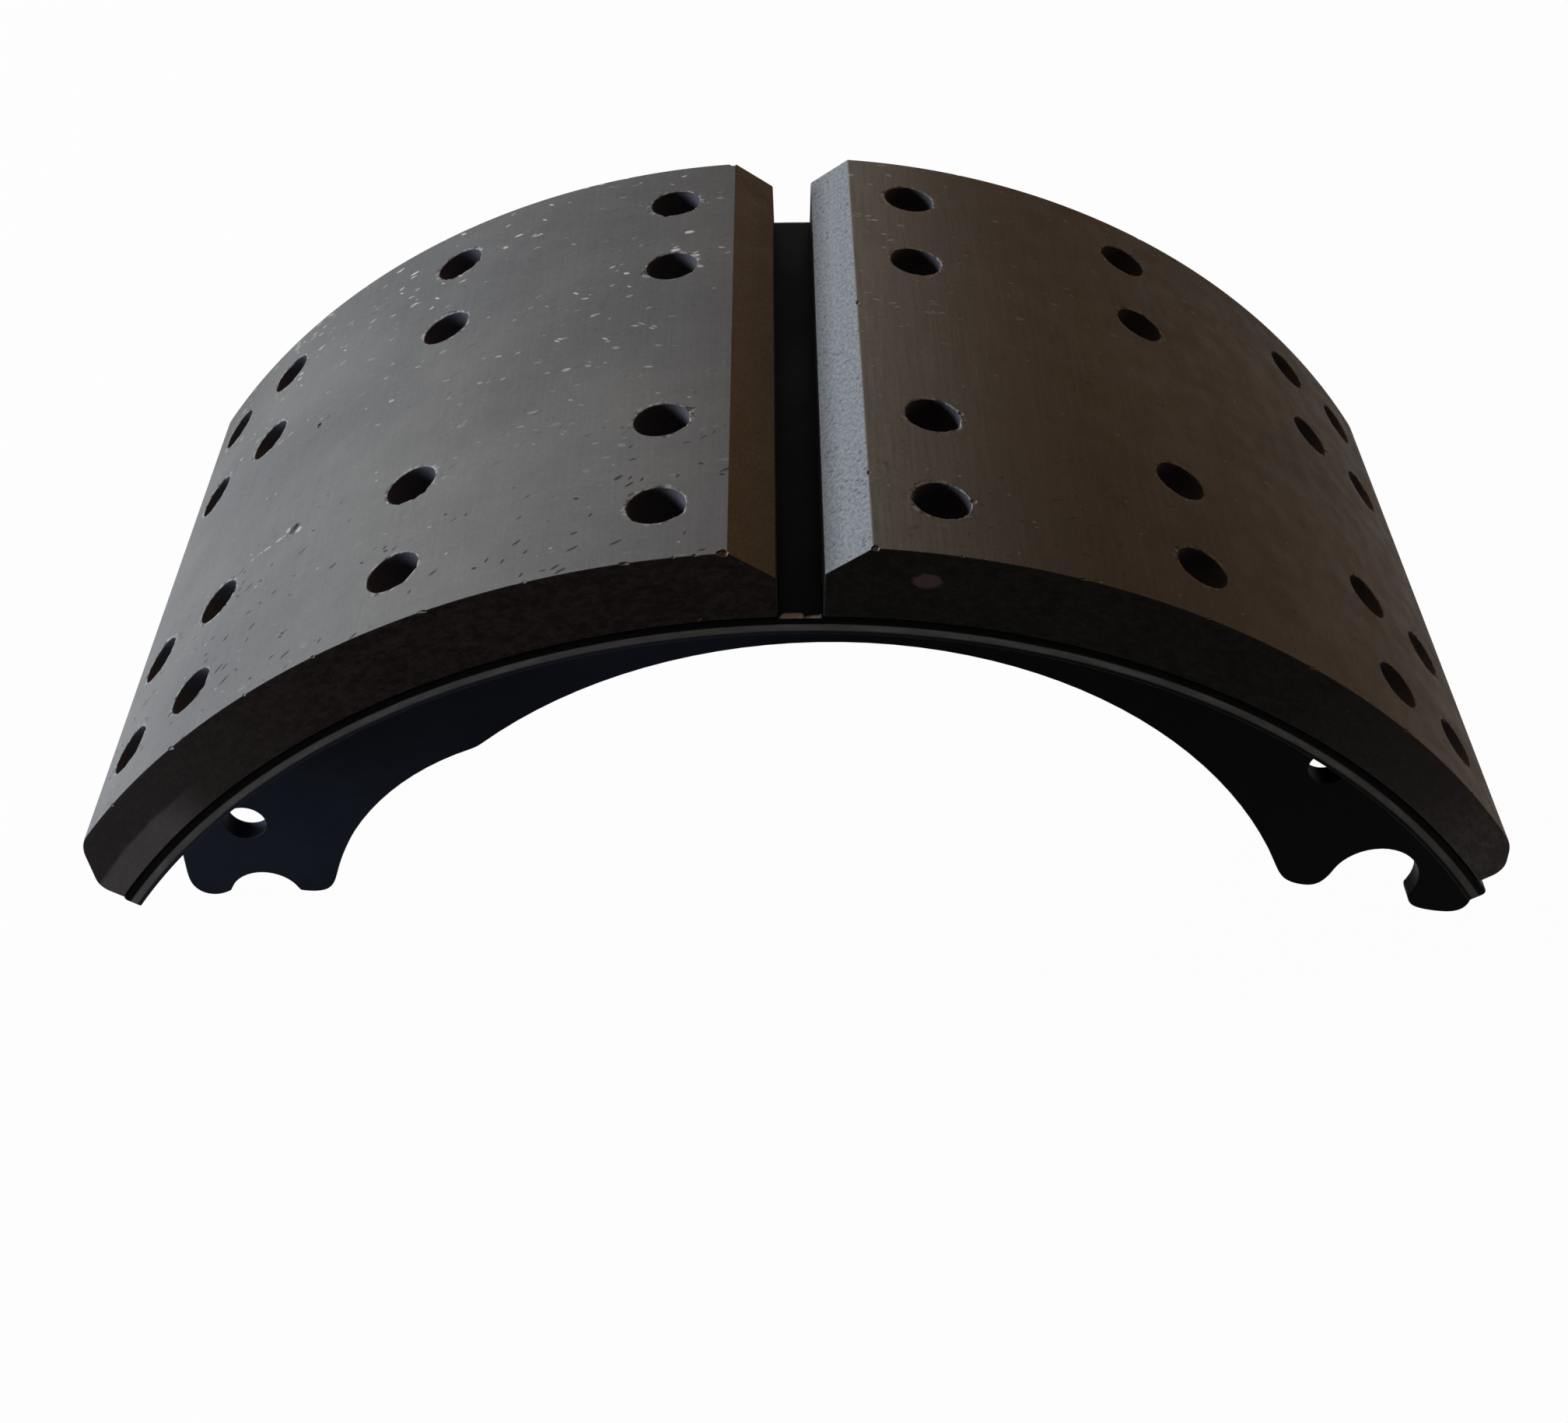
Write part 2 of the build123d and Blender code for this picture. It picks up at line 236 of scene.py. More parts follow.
class Look:
    """A material, or the world, being written as nodes."""

    def __init__(self, owner):
        self.owner = owner
        owner.use_nodes = True
        self.tree = owner.node_tree
        self.tree.nodes.clear()

    def put(self, socket, value):
        """Links a value to an input, or sets the input to a number, a vector or an RGB colour."""
        if isinstance(value, Value):
            self.tree.links.new(value.socket, socket)
        elif socket.type == "RGBA":
            socket.default_value = (*value, 1)
        else:
            socket.default_value = value

    def add(self, kind, inputs=(), out=0, **props):
        node = self.tree.nodes.new(kind)
        for key, value in props.items():
            setattr(node, key, value)
        for key, value in dict(inputs).items():
            self.put(node.inputs[key], value)
        return Value(self, node.outputs[out])

    def math(self, operation, a, b=0.0, c=0.0):
        return self.add("ShaderNodeMath", {0: a, 1: b, 2: c}, operation=operation)

    def scale(self, value, factor, offset):
        """value * factor + offset, in one node."""
        return self.math("MULTIPLY_ADD", value, factor, offset)

    def hypot(self, a, b):
        return self.math("SQRT", a * a + b * b)

    def largest(self, values):
        return reduce(lambda a, b: self.math("MAXIMUM", a, b), values)

    def smallest(self, values):
        return reduce(lambda a, b: self.math("MINIMUM", a, b), values)

    def step(self, value, low, high, to_low=0.0, to_high=1.0):
        """Smooth step from low to high."""
        ends = {"From Min": low, "From Max": high, "To Min": to_low, "To Max": to_high}
        return self.add("ShaderNodeMapRange", {"Value": value, **ends},
                        interpolation_type="SMOOTHSTEP")

    def vector(self, x, y, z=0.0):
        return self.add("ShaderNodeCombineXYZ", {0: x, 1: y, 2: z})

    def noise(self, vector, scale, detail=3.0, roughness=0.5):
        settings = {"Scale": scale, "Detail": detail, "Roughness": roughness}
        return self.add("ShaderNodeTexNoise", {"Vector": vector, **settings})

    def mix(self, factor, a, b, blend="MIX"):
        """Colour between a and b. A colour mix takes inputs 0, 6 and 7 and gives output 2."""
        return self.add("ShaderNodeMix", {0: factor, 6: a, 7: b}, out=2,
                        data_type="RGBA", blend_type=blend)

    def dashes(self, u, v, turn, along_mm, across_mm, density, width, seed):
        """1 on short thin marks that lie at an angle on the surface, 0 elsewhere."""
        c, s = cos(radians(turn)), sin(radians(turn))
        along, across = along_mm * MM, across_mm * MM
        p = u * (c / along) + v * (s / along)
        q = u * (-s / across) + v * (c / across)
        cell = self.add("ShaderNodeTexVoronoi",
                        {"Vector": self.vector(p, q, seed), "Scale": 1.0, "Randomness": 1.0},
                        voronoi_dimensions="3D")
        pick = self.add("ShaderNodeSeparateColor", {0: cell.output("Color")})
        chosen = self.math("GREATER_THAN", pick, 1.0 - density)
        return chosen * self.step(cell.output("Distance"), width, width * 0.6)

    def scatter(self, u, v, marks):
        """Several kinds of dashes together, each a row of what dashes takes after u and v."""
        return self.largest([self.dashes(u, v, *mark) for mark in marks])

    def object_point(self):
        return self.add("ShaderNodeTexCoord", out="Object")

    def about_arc(self, spot):
        """x and z from the arc's centre, and y."""
        x = self.add("ShaderNodeSeparateXYZ", {0: spot})
        return x - arc_x, x.output("Z") - arc_z, x.output("Y")

    def place(self):
        """The point, then its arc length, drum-axis place and radius about the table's arc."""
        spot = self.object_point()
        x, z, y = self.about_arc(spot)
        return spot, self.math("ARCTAN2", x, z) * arc_scale, y, self.hypot(x, z)

    def true_normal(self):
        return self.add("ShaderNodeNewGeometry", out="True Normal")

    def sideways(self):
        """How far the surface faces along the drum axis, 0 to 1."""
        return abs(self.add("ShaderNodeSeparateXYZ", {0: self.true_normal()}, out=1))

    def outward(self, spot):
        """How far the surface faces out from the arc centre, -1 to 1."""
        x, z, _ = self.about_arc(spot)
        ray = self.add("ShaderNodeVectorMath", {0: self.vector(x, 0.0, z)},
                       operation="NORMALIZE")
        return self.add("ShaderNodeVectorMath", {0: self.true_normal(), 1: ray},
                        operation="DOT_PRODUCT", out="Value")

    def seen_directly(self):
        """1 for rays from the camera and off or through a clear surface, 0 for bounced light."""
        path = self.add("ShaderNodeLightPath", out="Is Camera Ray")
        others = [path.output(f"Is {kind} Ray") for kind in ("Glossy", "Transmission")]
        return self.largest([path, *others])

    def close(self, shader, kind="Material"):
        """Ends the tree in its output node."""
        self.put(self.tree.nodes.new("ShaderNodeOutput" + kind).inputs[0], shader)
        return self.owner

    def finish(self, color, roughness, height=None, strength=0.0, distance=0.0,
               specular=0.5, metallic=0.0):
        """Ends the tree in a surface, with a bump of the given height, strength and distance."""
        inputs = {"Base Color": color, "Roughness": roughness,
                  "Specular IOR Level": specular, "Metallic": metallic}
        if height:
            bump = {"Height": height, "Strength": strength, "Distance": distance}
            inputs["Normal"] = self.add("ShaderNodeBump", bump)
        return self.close(self.add("ShaderNodeBsdfPrincipled", inputs))


# ---------------------------------------------------------------- lining material
# Marks on the linings: turn from the arc in degrees, length and width in mm, share of the
# cells that have one, how much of its cell it fills, seed.
fleck_marks = [(turn, 2.0, 1.4, 0.11, 0.34, seed)
               for turn, seed in ((80, 41.0), (20, 45.0), (-30, 49.0))]
fibre_marks = [
    (4, 5.6, 1.5, 0.036, 0.32, 1.0), (-13, 4.4, 1.3, 0.036, 0.32, 5.0),
    (-42, 4.0, 1.2, 0.036, 0.32, 9.0), (24, 3.4, 1.2, 0.036, 0.32, 13.0),
    (8, 4.6, 2.6, 0.016, 0.34, 17.0), (-25, 3.6, 2.2, 0.016, 0.34, 25.0),
]
pit_marks = [
    (38, 5.6, 1.8, 0.052, 0.27, 31.0), (12, 4.2, 1.5, 0.052, 0.27, 35.0),
    (62, 3.6, 1.5, 0.052, 0.27, 39.0), (-20, 3.0, 1.9, 0.052, 0.27, 43.0),
    (28, 8.0, 1.9, 0.052, 0.27, 47.0),
]
speck_mark = (10, 3.4, 2.8, 0.085, 0.17, 21.0)
side_nick_mark = (30, 3.4, 1.7, 0.016, 0.30, 61.0)
scratch_start, scratch_end = Vector((-0.1572, -0.0281)), Vector((-0.1384, -0.0274))


class LiningLook(Look):
    """Friction material: a worn drum face, dark moulded sides and sawn inner chamfers."""

    def __init__(self):
        super().__init__(bpy.data.materials.new("lining"))
        self.spot, u, v, radius = self.place()
        self.u, self.v, self.radius = u, v, radius
        self.flat = self.vector(u, v, radius)
        outward = self.outward(self.spot)
        self.on_face = self.step(outward, 0.35, 0.6)
        self.side = 1.0 - self.on_face
        self.chamfer = self.step(outward, 0.95, 0.89) * self.on_face
        self.face_only = self.on_face - self.chamfer
        self.on_anchor = self.step(u, -0.012, -0.006)
        self.grain = self.noise(self.spot, 900.0, 4.0, 0.62)
        self.mottle = self.noise(self.spot, 120.0, 3.0, 0.6)
        self.cloud = self.noise(self.spot, 16.0, 3.0, 0.55)
        self.lines = self.noise(self.vector(u * 900.0, v * 14.0), 1.0, 2.0, 0.5)
        self.streaks = self.noise(self.vector(u * 900.0, v * 48.0), 1.0, 3.0, 0.6)
        self.rough_side = self.noise(self.vector(u * 380.0, radius * 620.0, v * 300.0),
                                     1.0, 5.0, 0.72)
        self.sawn = self.noise(self.vector(u * 1300.0, v * 800.0), 1.0, 4.0, 0.75)

    def face_color(self):
        color = self.mix(self.step(self.cloud, 0.35, 0.65),
                         (0.172, 0.163, 0.158), (0.188, 0.176, 0.166))
        return self.mix(self.on_anchor * self.step(self.u, 0.06, 0.0), color,
                        (0.245, 0.219, 0.186))

    def side_color(self):
        u, flat = self.u, self.flat
        rough = self.step(self.rough_side, 0.36, 0.66)
        # painted light from the left: the cam block's sides are lighter than the anchor block's;
        # their purplish and grey hues are the tone
        cam = self.mix(rough, (0.031, 0.0210, 0.0208), (0.082, 0.059, 0.058))
        anchor = self.mix(rough, (0.020, 0.0190, 0.0165), (0.044, 0.0425, 0.0375))
        color = self.mix(self.on_anchor, cam, anchor)
        grit = self.noise(flat, 1700.0, 3.0, 0.7)
        color = self.mix(self.step(grit, 0.61, 0.73, 0.0, 0.40), color, (0.13, 0.118, 0.112))
        # painted light: paler towards both outer ends of the sides, where more light falls
        far = self.step(abs(u + 0.008), 0.10, 0.19)
        color = self.mix(far * 0.55, color, (0.150, 0.134, 0.130))
        # painted light: paler at the anchor block's outer end, broken up by the rough pattern, and
        # pale low on the cam block's outer end where light from the floor falls
        painted_end_light = self.step(u, 0.160, 0.195) * self.step(self.rough_side, 0.40, 0.62, 0.35, 0.85)
        color = self.mix(painted_end_light, color, (0.290, 0.262, 0.254))
        low = self.radius + self.noise(flat, 60.0, 2.0) * 0.003
        pale = self.step(low, table_radius + 0.0086, table_radius + 0.0074)
        pale = pale * self.step(u, -0.168, -0.190)
        color = self.mix(pale * 0.80, color, (0.34, 0.310, 0.300))
        nicked = self.dashes(u, self.radius, *side_nick_mark)
        return self.mix(nicked * 0.55, color, (0.30, 0.28, 0.27))

    def dab(self, color):
        """A faint pink dab on the anchor block's front side."""
        reach = self.hypot((self.u - 0.01973) * 0.6, self.radius - 0.21488)
        reach = reach + self.noise(self.flat, 600.0, 2.0) * 0.0010
        on_front = self.step(self.v, -0.0885, -0.0888)
        dabbed = self.step(reach, 0.0028, 0.0020) * on_front * self.side
        return self.mix(dabbed * 0.7, color, (0.30, 0.215, 0.20))

    def brightness(self):
        """Factor on the colour: grain everywhere, and on the faces lines, painted shading across
        them, a paler end and a darker corner.
        """
        u, v, on_face, on_anchor = self.u, self.v, self.on_face, self.on_anchor
        level = (self.grain - 0.5) * 0.30 + 1.0
        level = level + (self.mottle - 0.5) * 0.30
        level = level + (self.cloud - 0.5) * 0.36
        across_lines = self.noise(self.vector(u * 60.0, v * 900.0), 1.0, 2.0, 0.5)
        woven = (self.lines - 0.5) * 0.13 + (across_lines - 0.5) * 0.10
        woven = woven + (self.streaks - 0.5) * self.scale(on_anchor, 0.42, 0.10)
        level = level + woven * on_face
        # painted shading: paler towards the front on the cam block, towards the rear on most of
        # the anchor block
        painted_shading_slope = self.scale(self.step(u, 0.05, 0.15), -2.4, 1.4) + 1.2
        painted_shading_slope = self.scale(on_anchor * painted_shading_slope, 1.0, -1.2)
        level = level + v * painted_shading_slope * on_face
        # paler at the anchor block's outer end, darker in the cam block's rear outer corner
        level = level + self.step(u, 0.135, 0.18, 0.0, 0.17) * on_face
        corner = self.step(u, -0.165, -0.19) * self.step(v, 0.05, 0.08)
        return level + corner * -0.20 * on_face

    def chamfers(self, color):
        """Sawn chamfers: rough, with fine dark flecks, warm on the cam block's inner one."""
        rough = self.step(self.sawn, 0.40, 0.60)
        cold = self.mix(rough, (0.190, 0.195, 0.205), (0.292, 0.298, 0.310))
        warm = self.mix(rough, (0.178, 0.148, 0.112), (0.230, 0.194, 0.149))
        inner_cam = (1.0 - self.on_anchor) * self.step(self.u, -0.06, -0.04)
        color = self.mix(self.chamfer * 0.92, color, self.mix(inner_cam, cold, warm))
        where = self.chamfer * self.scale(self.on_anchor, 0.75, 0.25)
        flecks = self.scatter(self.u, self.v, fleck_marks) * where
        return self.mix(flecks * 0.5, color, (0.055, 0.054, 0.053))

    def fibres(self, color):
        """Pale fibres, most of them along the arc, thickest on the cam block's rear half."""
        crowd = self.step(self.v * 5.0 + abs(self.u + 0.045) * -3.0, -0.42, 0.25, 0.10, 1.0)
        patch = self.step(self.noise(self.flat, 38.0, 2.0), 0.36, 0.60)
        fibres = self.scatter(self.u, self.v, fibre_marks) * self.face_only * (crowd * patch)
        strength = self.step(self.noise(self.flat, 310.0, 1.0), 0.35, 0.60, 0.35, 1.0)
        return self.mix(fibres * strength, color, (0.70, 0.69, 0.66))

    def scratch(self, color):
        """One long pale scratch on the cam block's face."""
        run = scratch_end - scratch_start
        fade = 0.004
        c, s = run.x / run.length, run.y / run.length
        du, dv = self.u - scratch_start.x, self.v - scratch_start.y
        along = du * c + dv * s
        off = du * -s + dv * c
        waver = self.scale(self.noise(self.flat, 60.0, 1.0), 0.004, -0.002)
        near = self.step(abs(off + waver), 0.00055, 0.0002)
        within = self.step(along, 0.0, fade) * self.step(along, run.length, run.length - fade)
        broken = self.step(self.noise(self.flat, 480.0, 2.0), 0.49, 0.56)
        scratch = near * within * broken * self.on_face
        return self.mix(scratch * 0.8, color, (0.48, 0.47, 0.44))

    def specks(self, color):
        specks = self.dashes(self.u, self.v, *speck_mark) * self.face_only
        return self.mix(specks * 0.7, color, (0.42, 0.41, 0.38))

    def pits(self, color):
        """Dark pits, most of them on the front half of the cam block's face."""
        uneven = self.v + self.noise(self.flat, 25.0, 2.0) * 0.06
        front = self.step(uneven, 0.01, -0.03, 0.22, 1.0)
        where = front * self.scale(self.on_anchor, -0.55, 1.0)
        pits = self.scatter(self.u, self.v, pit_marks) * self.face_only * where
        return self.mix(pits * 0.80, color, (0.040, 0.036, 0.034))

    def stains(self, color):
        """Dark stains on the anchor block's face."""
        stains = self.step(self.noise(self.flat, 230.0, 3.0, 0.6), 0.66, 0.74)
        stains = stains * self.on_anchor * self.face_only
        return self.mix(stains * 0.40, color, (0.06, 0.050, 0.042))

    def chip(self, color):
        """The dark chip with a pale rim where the scratch ends."""
        for x, y, size, amount, tint in (
            (0.0, 0.0, 0.0030, 0.85, (0.050, 0.048, 0.046)),
            (0.0018, -0.0018, 0.0022, 0.8, (0.50, 0.50, 0.48)),
            (-0.0024, 0.0010, 0.0019, 0.7, (0.46, 0.46, 0.44)),
        ):
            place = scratch_end + Vector((x, y))
            gap = self.hypot(self.u - place.x, self.v - place.y)
            gap = gap + self.noise(self.flat, 900.0, 2.0) * 0.0016
            there = self.step(gap, size, size * 0.7) * self.on_face
            color = self.mix(there * amount, color, tint)
        return color

    def hole_mouths(self, color):
        """Hole walls in a colour of their own that stands for the shade inside the holes, and
        crumbled rims. Gives the colour and the dark crumbs.
        """
        across = self.smallest([abs(self.u - radians(angle) * arc_scale)
                                for angle in columns["cam"] + columns["anchor"]])
        out_v = abs(self.v)
        along = self.smallest([abs(out_v - row) for row in rows])
        reach = self.hypot(across, along)
        # painted shade: the hole walls take a colour of their own that sets how dark the holes
        # look
        hole_wall_shade = self.step(reach, 0.0068, 0.0066) * self.side
        color = self.mix(hole_wall_shade * 0.8, color, (0.088, 0.084, 0.102))
        uneven = reach + self.noise(self.flat, 170.0, 2.0) * -0.0042
        rim = self.step(uneven, 0.0057, 0.0046) * self.on_face
        crumb = self.noise(self.flat, 620.0, 3.0, 0.65)
        pale = rim * self.step(crumb, 0.50, 0.58)
        color = self.mix(pale * 0.55, color, (0.46, 0.44, 0.41))
        dark = rim * self.step(crumb, 0.46, 0.40)
        return self.mix(dark * 0.7, color, (0.05, 0.045, 0.04)), dark


def lining_look():
    look = LiningLook()
    color = look.dab(look.mix(look.side, look.face_color(), look.side_color()))
    level = look.brightness()
    grey = look.add("ShaderNodeCombineColor", {0: level, 1: level, 2: level})
    color = look.mix(1.0, color, grey, "MULTIPLY")
    for layer in (look.chamfers, look.fibres, look.scratch, look.specks, look.pits,
                  look.stains, look.chip):
        color = layer(color)
    color, dark_crumbs = look.hole_mouths(color)
    height = look.grain * 0.6 - dark_crumbs * 1.5
    height = height + look.lines * 0.12
    height = height + look.sawn * look.chamfer * 3.6
    height = height + look.streaks * look.on_face * 0.3
    height = height + look.rough_side * look.side * 1.2
    roughness = look.step(look.mottle, 0.3, 0.7, 0.58, 0.72)
    return look.finish(color, roughness, height, 0.35, 0.00022, specular=0.02)


# ---------------------------------------------------------------- steel materials
def edge_light_and_shade(look, color, spot, u, v, radius):
    """The table's side edge: a pale band with a rubbed pattern that is a painted sheen, painted
    shade at the top of the side and on the top face, and a painted highlight on the top edge in
    the linings' gap.
    """
    # painted sheen: a pale band with a rubbed pattern on the side face below the groove
    rubbed = look.noise(look.vector(u * 90.0, radius * 500.0), 1.0, 3.0, 0.6)
    pale_sheen = look.mix(look.step(rubbed, 0.3, 0.75), (0.25, 0.247, 0.237), (0.40, 0.395, 0.380))
    sheen_band = look.step(radius, table_radius - 0.0018, table_radius - 0.0023)
    sheen_band = sheen_band * look.step(radius, table_radius - 0.0041, table_radius - 0.0034)
    # painted shade: near black at the top of the side face, in the groove under the linings, and
    # on the top face between them
    painted_shade = look.step(radius, table_radius - 0.0024, table_radius - 0.0018)
    color = look.mix(painted_shade * 0.97, color, (0.0018, 0.0017, 0.0015))
    color = look.mix(look.step(look.sideways(), 0.6, 0.9) * sheen_band, color, pale_sheen)
    # painted highlight: broken pale dashes on the table's top edge in the linings' gap
    off = abs(u - radians(middle_angle) * arc_scale)
    in_gap = look.step(off, 0.0052, 0.0046) * look.step(abs(v), 0.0872, 0.0879)
    painted_glint = in_gap * look.step(radius, table_radius - 0.00062, table_radius - 0.00045)
    painted_glint = painted_glint * look.step(look.noise(spot, 260.0, 2.0), 0.40, 0.47)
    return look.mix(painted_glint, color, (0.62, 0.60, 0.60))


def paint_look(name, edge=False):
    """Dark shoe paint, lighter and bluer at the cam end: painted light from the left."""
    look = Look(bpy.data.materials.new(name))
    spot, u, v, radius = look.place()
    cloud = look.noise(spot, 28.0, 4.0, 0.6)
    peel = look.noise(spot, 420.0, 2.0, 0.5)
    dust = look.noise(spot, 1400.0, 3.0, 0.7)
    shade = look.step(cloud, 0.35, 0.7)
    # painted light from the left: the lighter, bluer paint stands for the cam end being lit
    lit_blue = look.mix(shade, (0.035, 0.0415, 0.0640), (0.053, 0.0610, 0.0900))
    plain = look.mix(shade, (0.0125, 0.0117, 0.0116), (0.0205, 0.0193, 0.0190))
    color = look.mix(look.step(u, -0.06, 0.05), lit_blue, plain)
    color = look.mix(look.step(dust, 0.62, 0.8, 0.0, 0.30), color, (0.040, 0.039, 0.038))
    if edge:
        color = edge_light_and_shade(look, color, spot, u, v, radius)
    height = peel * 0.7 + dust * 0.25
    roughness = look.step(cloud, 0.3, 0.7, 0.36, 0.50)
    return look.finish(color, roughness, height, 0.25, 0.0002, specular=0.012)


def steel_look():
    """Bare steel of the rivets."""
    look = Look(bpy.data.materials.new("rivet_steel"))
    cloud = look.noise(look.object_point(), 300.0, 3.0, 0.6)
    color = look.mix(look.step(cloud, 0.3, 0.7), (0.20, 0.18, 0.16), (0.34, 0.32, 0.30))
    return look.finish(color, look.step(cloud, 0.3, 0.7, 0.42, 0.58), metallic=0.85)


lining_material = lining_look()
web_material = paint_look("web_paint")
table_material = paint_look("table_paint", edge=True)
steel_material = steel_look()


def dress(obj, material, slot, *replaced):
    obj.data.materials.clear()
    obj.data.materials.append(material)
    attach(obj, "root")
    if replaced:
        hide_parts(*replaced)


# ---------------------------------------------------------------- lining blocks
def face_centre(way, thick, thin, outer_chamfer_mm):
    """Centre (x, z) of a block's drum face, from the thickness at the face's two ends."""
    inner = (arc_degrees(lining_half_gap_mm, table_mm)
             + arc_degrees(inner_chamfer_mm, face_mm))
    outer = lining_half_span - arc_degrees(outer_chamfer_mm, face_mm)
    start = polar(middle_angle + way * inner, table_radius + thick)
    end = polar(middle_angle + way * outer, table_radius + thin)
    chord = Vector((end.x - start.x, end.z - start.z))
    middle = Vector((start.x + end.x, start.z + end.z)) / 2
    normal = Vector((-chord.y, chord.x)).normalized() * way
    return middle - normal * (face_radius ** 2 - chord.length_squared / 4) ** 0.5


def refine_arcs(loop, circles, step, tolerance=3e-5):
    """The outline with finer steps on its stretches that lie on a circle."""
    out = []
    for p, q in zip(loop, loop[1:] + loop[:1]):
        out.append(p)
        for centre, radius in circles:
            if all(abs((end - centre).length - radius) < tolerance for end in (p, q)):
                n = max(1, round((q - p).length / step))
                for k in range(1, n):
                    ray = p.lerp(q, k / n) - centre
                    out.append(centre + ray.normalized() * radius)
                break
    return out


def profile_normals(obj, loop):
    """Sets the exact normals of a prism's long faces, so that cuts leave no shading."""
    crease = cos(radians(25))  # a smaller corner between two sides is shaded smooth
    same_way, same_plane = 0.9985, 2e-5  # to tell which side of the outline a face lies on
    n = len(loop)
    sides = [loop[(i + 1) % n] - loop[i] for i in range(n)]
    area = sum(p.x * q.y - q.x * p.y for p, q in zip(loop, loop[1:] + loop[:1]))
    way = 1 if area > 0 else -1
    flat = [Vector((d.y, -d.x)).normalized() * way for d in sides]
    ends = []
    for i in range(n):
        pair = []
        for j, k in (((i - 1) % n, i), (i, (i + 1) % n)):
            if flat[j].dot(flat[k]) > crease:
                mixed = flat[j] * sides[j].length + flat[k] * sides[k].length
                pair.append(mixed.normalized())
            else:
                pair.append(flat[i])
        ends.append(pair)
    mesh = obj.data
    normals = [c.vector.copy() for c in mesh.corner_normals]
    for poly in mesh.polygons:
        if abs(poly.normal.y) > 0.02:
            continue
        facing = Vector((poly.normal.x, poly.normal.z)).normalized()
        middle = Vector((poly.center.x, poly.center.z))
        for i in range(n):
            if flat[i].dot(facing) < same_way:
                continue
            at = (middle - loop[i]).dot(sides[i]) / sides[i].length_squared
            if -0.01 < at < 1.01 and abs((middle - loop[i]).dot(flat[i])) < same_plane:
                for corner in poly.loop_indices:
                    p = mesh.vertices[mesh.loops[corner].vertex_index].co
                    t = (Vector((p.x, p.z)) - loop[i]).dot(sides[i]) / sides[i].length_squared
                    mixed = ends[i][0].lerp(ends[i][1], clamp(t)).normalized()
                    normals[corner] = Vector((mixed.x, 0, mixed.y))
                break
    mesh.normals_split_custom_set([tuple(v) for v in normals])


# worn mouth of a rivet hole, in mm: how far outside the wall, and height over the drum face
mouth = [(0.0, -1.30), (0.03, -0.42), (0.09, -0.17), (0.20, -0.05), (0.36, 0.04), (0.40, 6.0)]


def bore(bm, angle, y, centre, steps=72):
    """Adds the cutter of one rivet hole: shank, counterbore, and the mouth in the face."""
    place = rivet_place(angle, y)
    below = -grip - 0.002
    rings = [circle(bm, place, radius, height, steps) for radius, height in
             ((0, below), (shank_hole, below), (shank_hole, 0), (hole_radius, 0))]
    local = place.inverted() @ Vector((centre.x, y, centre.y))
    seed = Vector((angle * 0.37, y * 90, 3.0))
    for out, rise in mouth:
        ring = []
        for k in range(steps):
            a = 2 * pi * k / steps
            around = Vector((cos(a), sin(a), 0))
            rough = noise.noise(seed + around * 1.6) * 0.7 + noise.noise(seed + around * 5.0) * 0.5
            chip = max(0.0, rough - 0.12 + 0.10 * cos(a)) * 6.0
            radius = hole_radius + out * MM * (1 + chip)
            dx = radius * cos(a)
            top = local.z + (face_radius ** 2 - (dx - local.x) ** 2) ** 0.5
            drop = rise * MM if rise > 0 else rise * MM * (1 + 0.5 * chip)
            ring.append(bm.verts.new(place @ Vector((dx, radius * sin(a), top + drop))))
        rings.append(ring)
    tip = sum((v.co for v in rings[-1]), Vector()) / steps
    rings.append([bm.verts.new(tip)])
    skin(bm, rings)


def nick(bm, spot, size, seed):
    """Adds a small rough lump to bm, to break a chip out of an edge or a face."""
    made = bmesh.ops.create_icosphere(bm, subdivisions=2, radius=1.0)["verts"]
    for v in made:
        rough = 1 + 0.35 * noise.noise(v.co * 1.7 + Vector((seed, 0, 0)))
        v.co = Vector(spot) + Vector([c * s for c, s in zip(v.co, size)]) * rough


def face_reach(angle, centre):
    """Distance from the table's arc centre to a block's drum face."""
    ray = Vector((sin(radians(angle)), cos(radians(angle))))
    off = arc_centre - centre
    along = off.dot(ray)
    return -along + (along ** 2 - off.length_squared + face_radius ** 2) ** 0.5


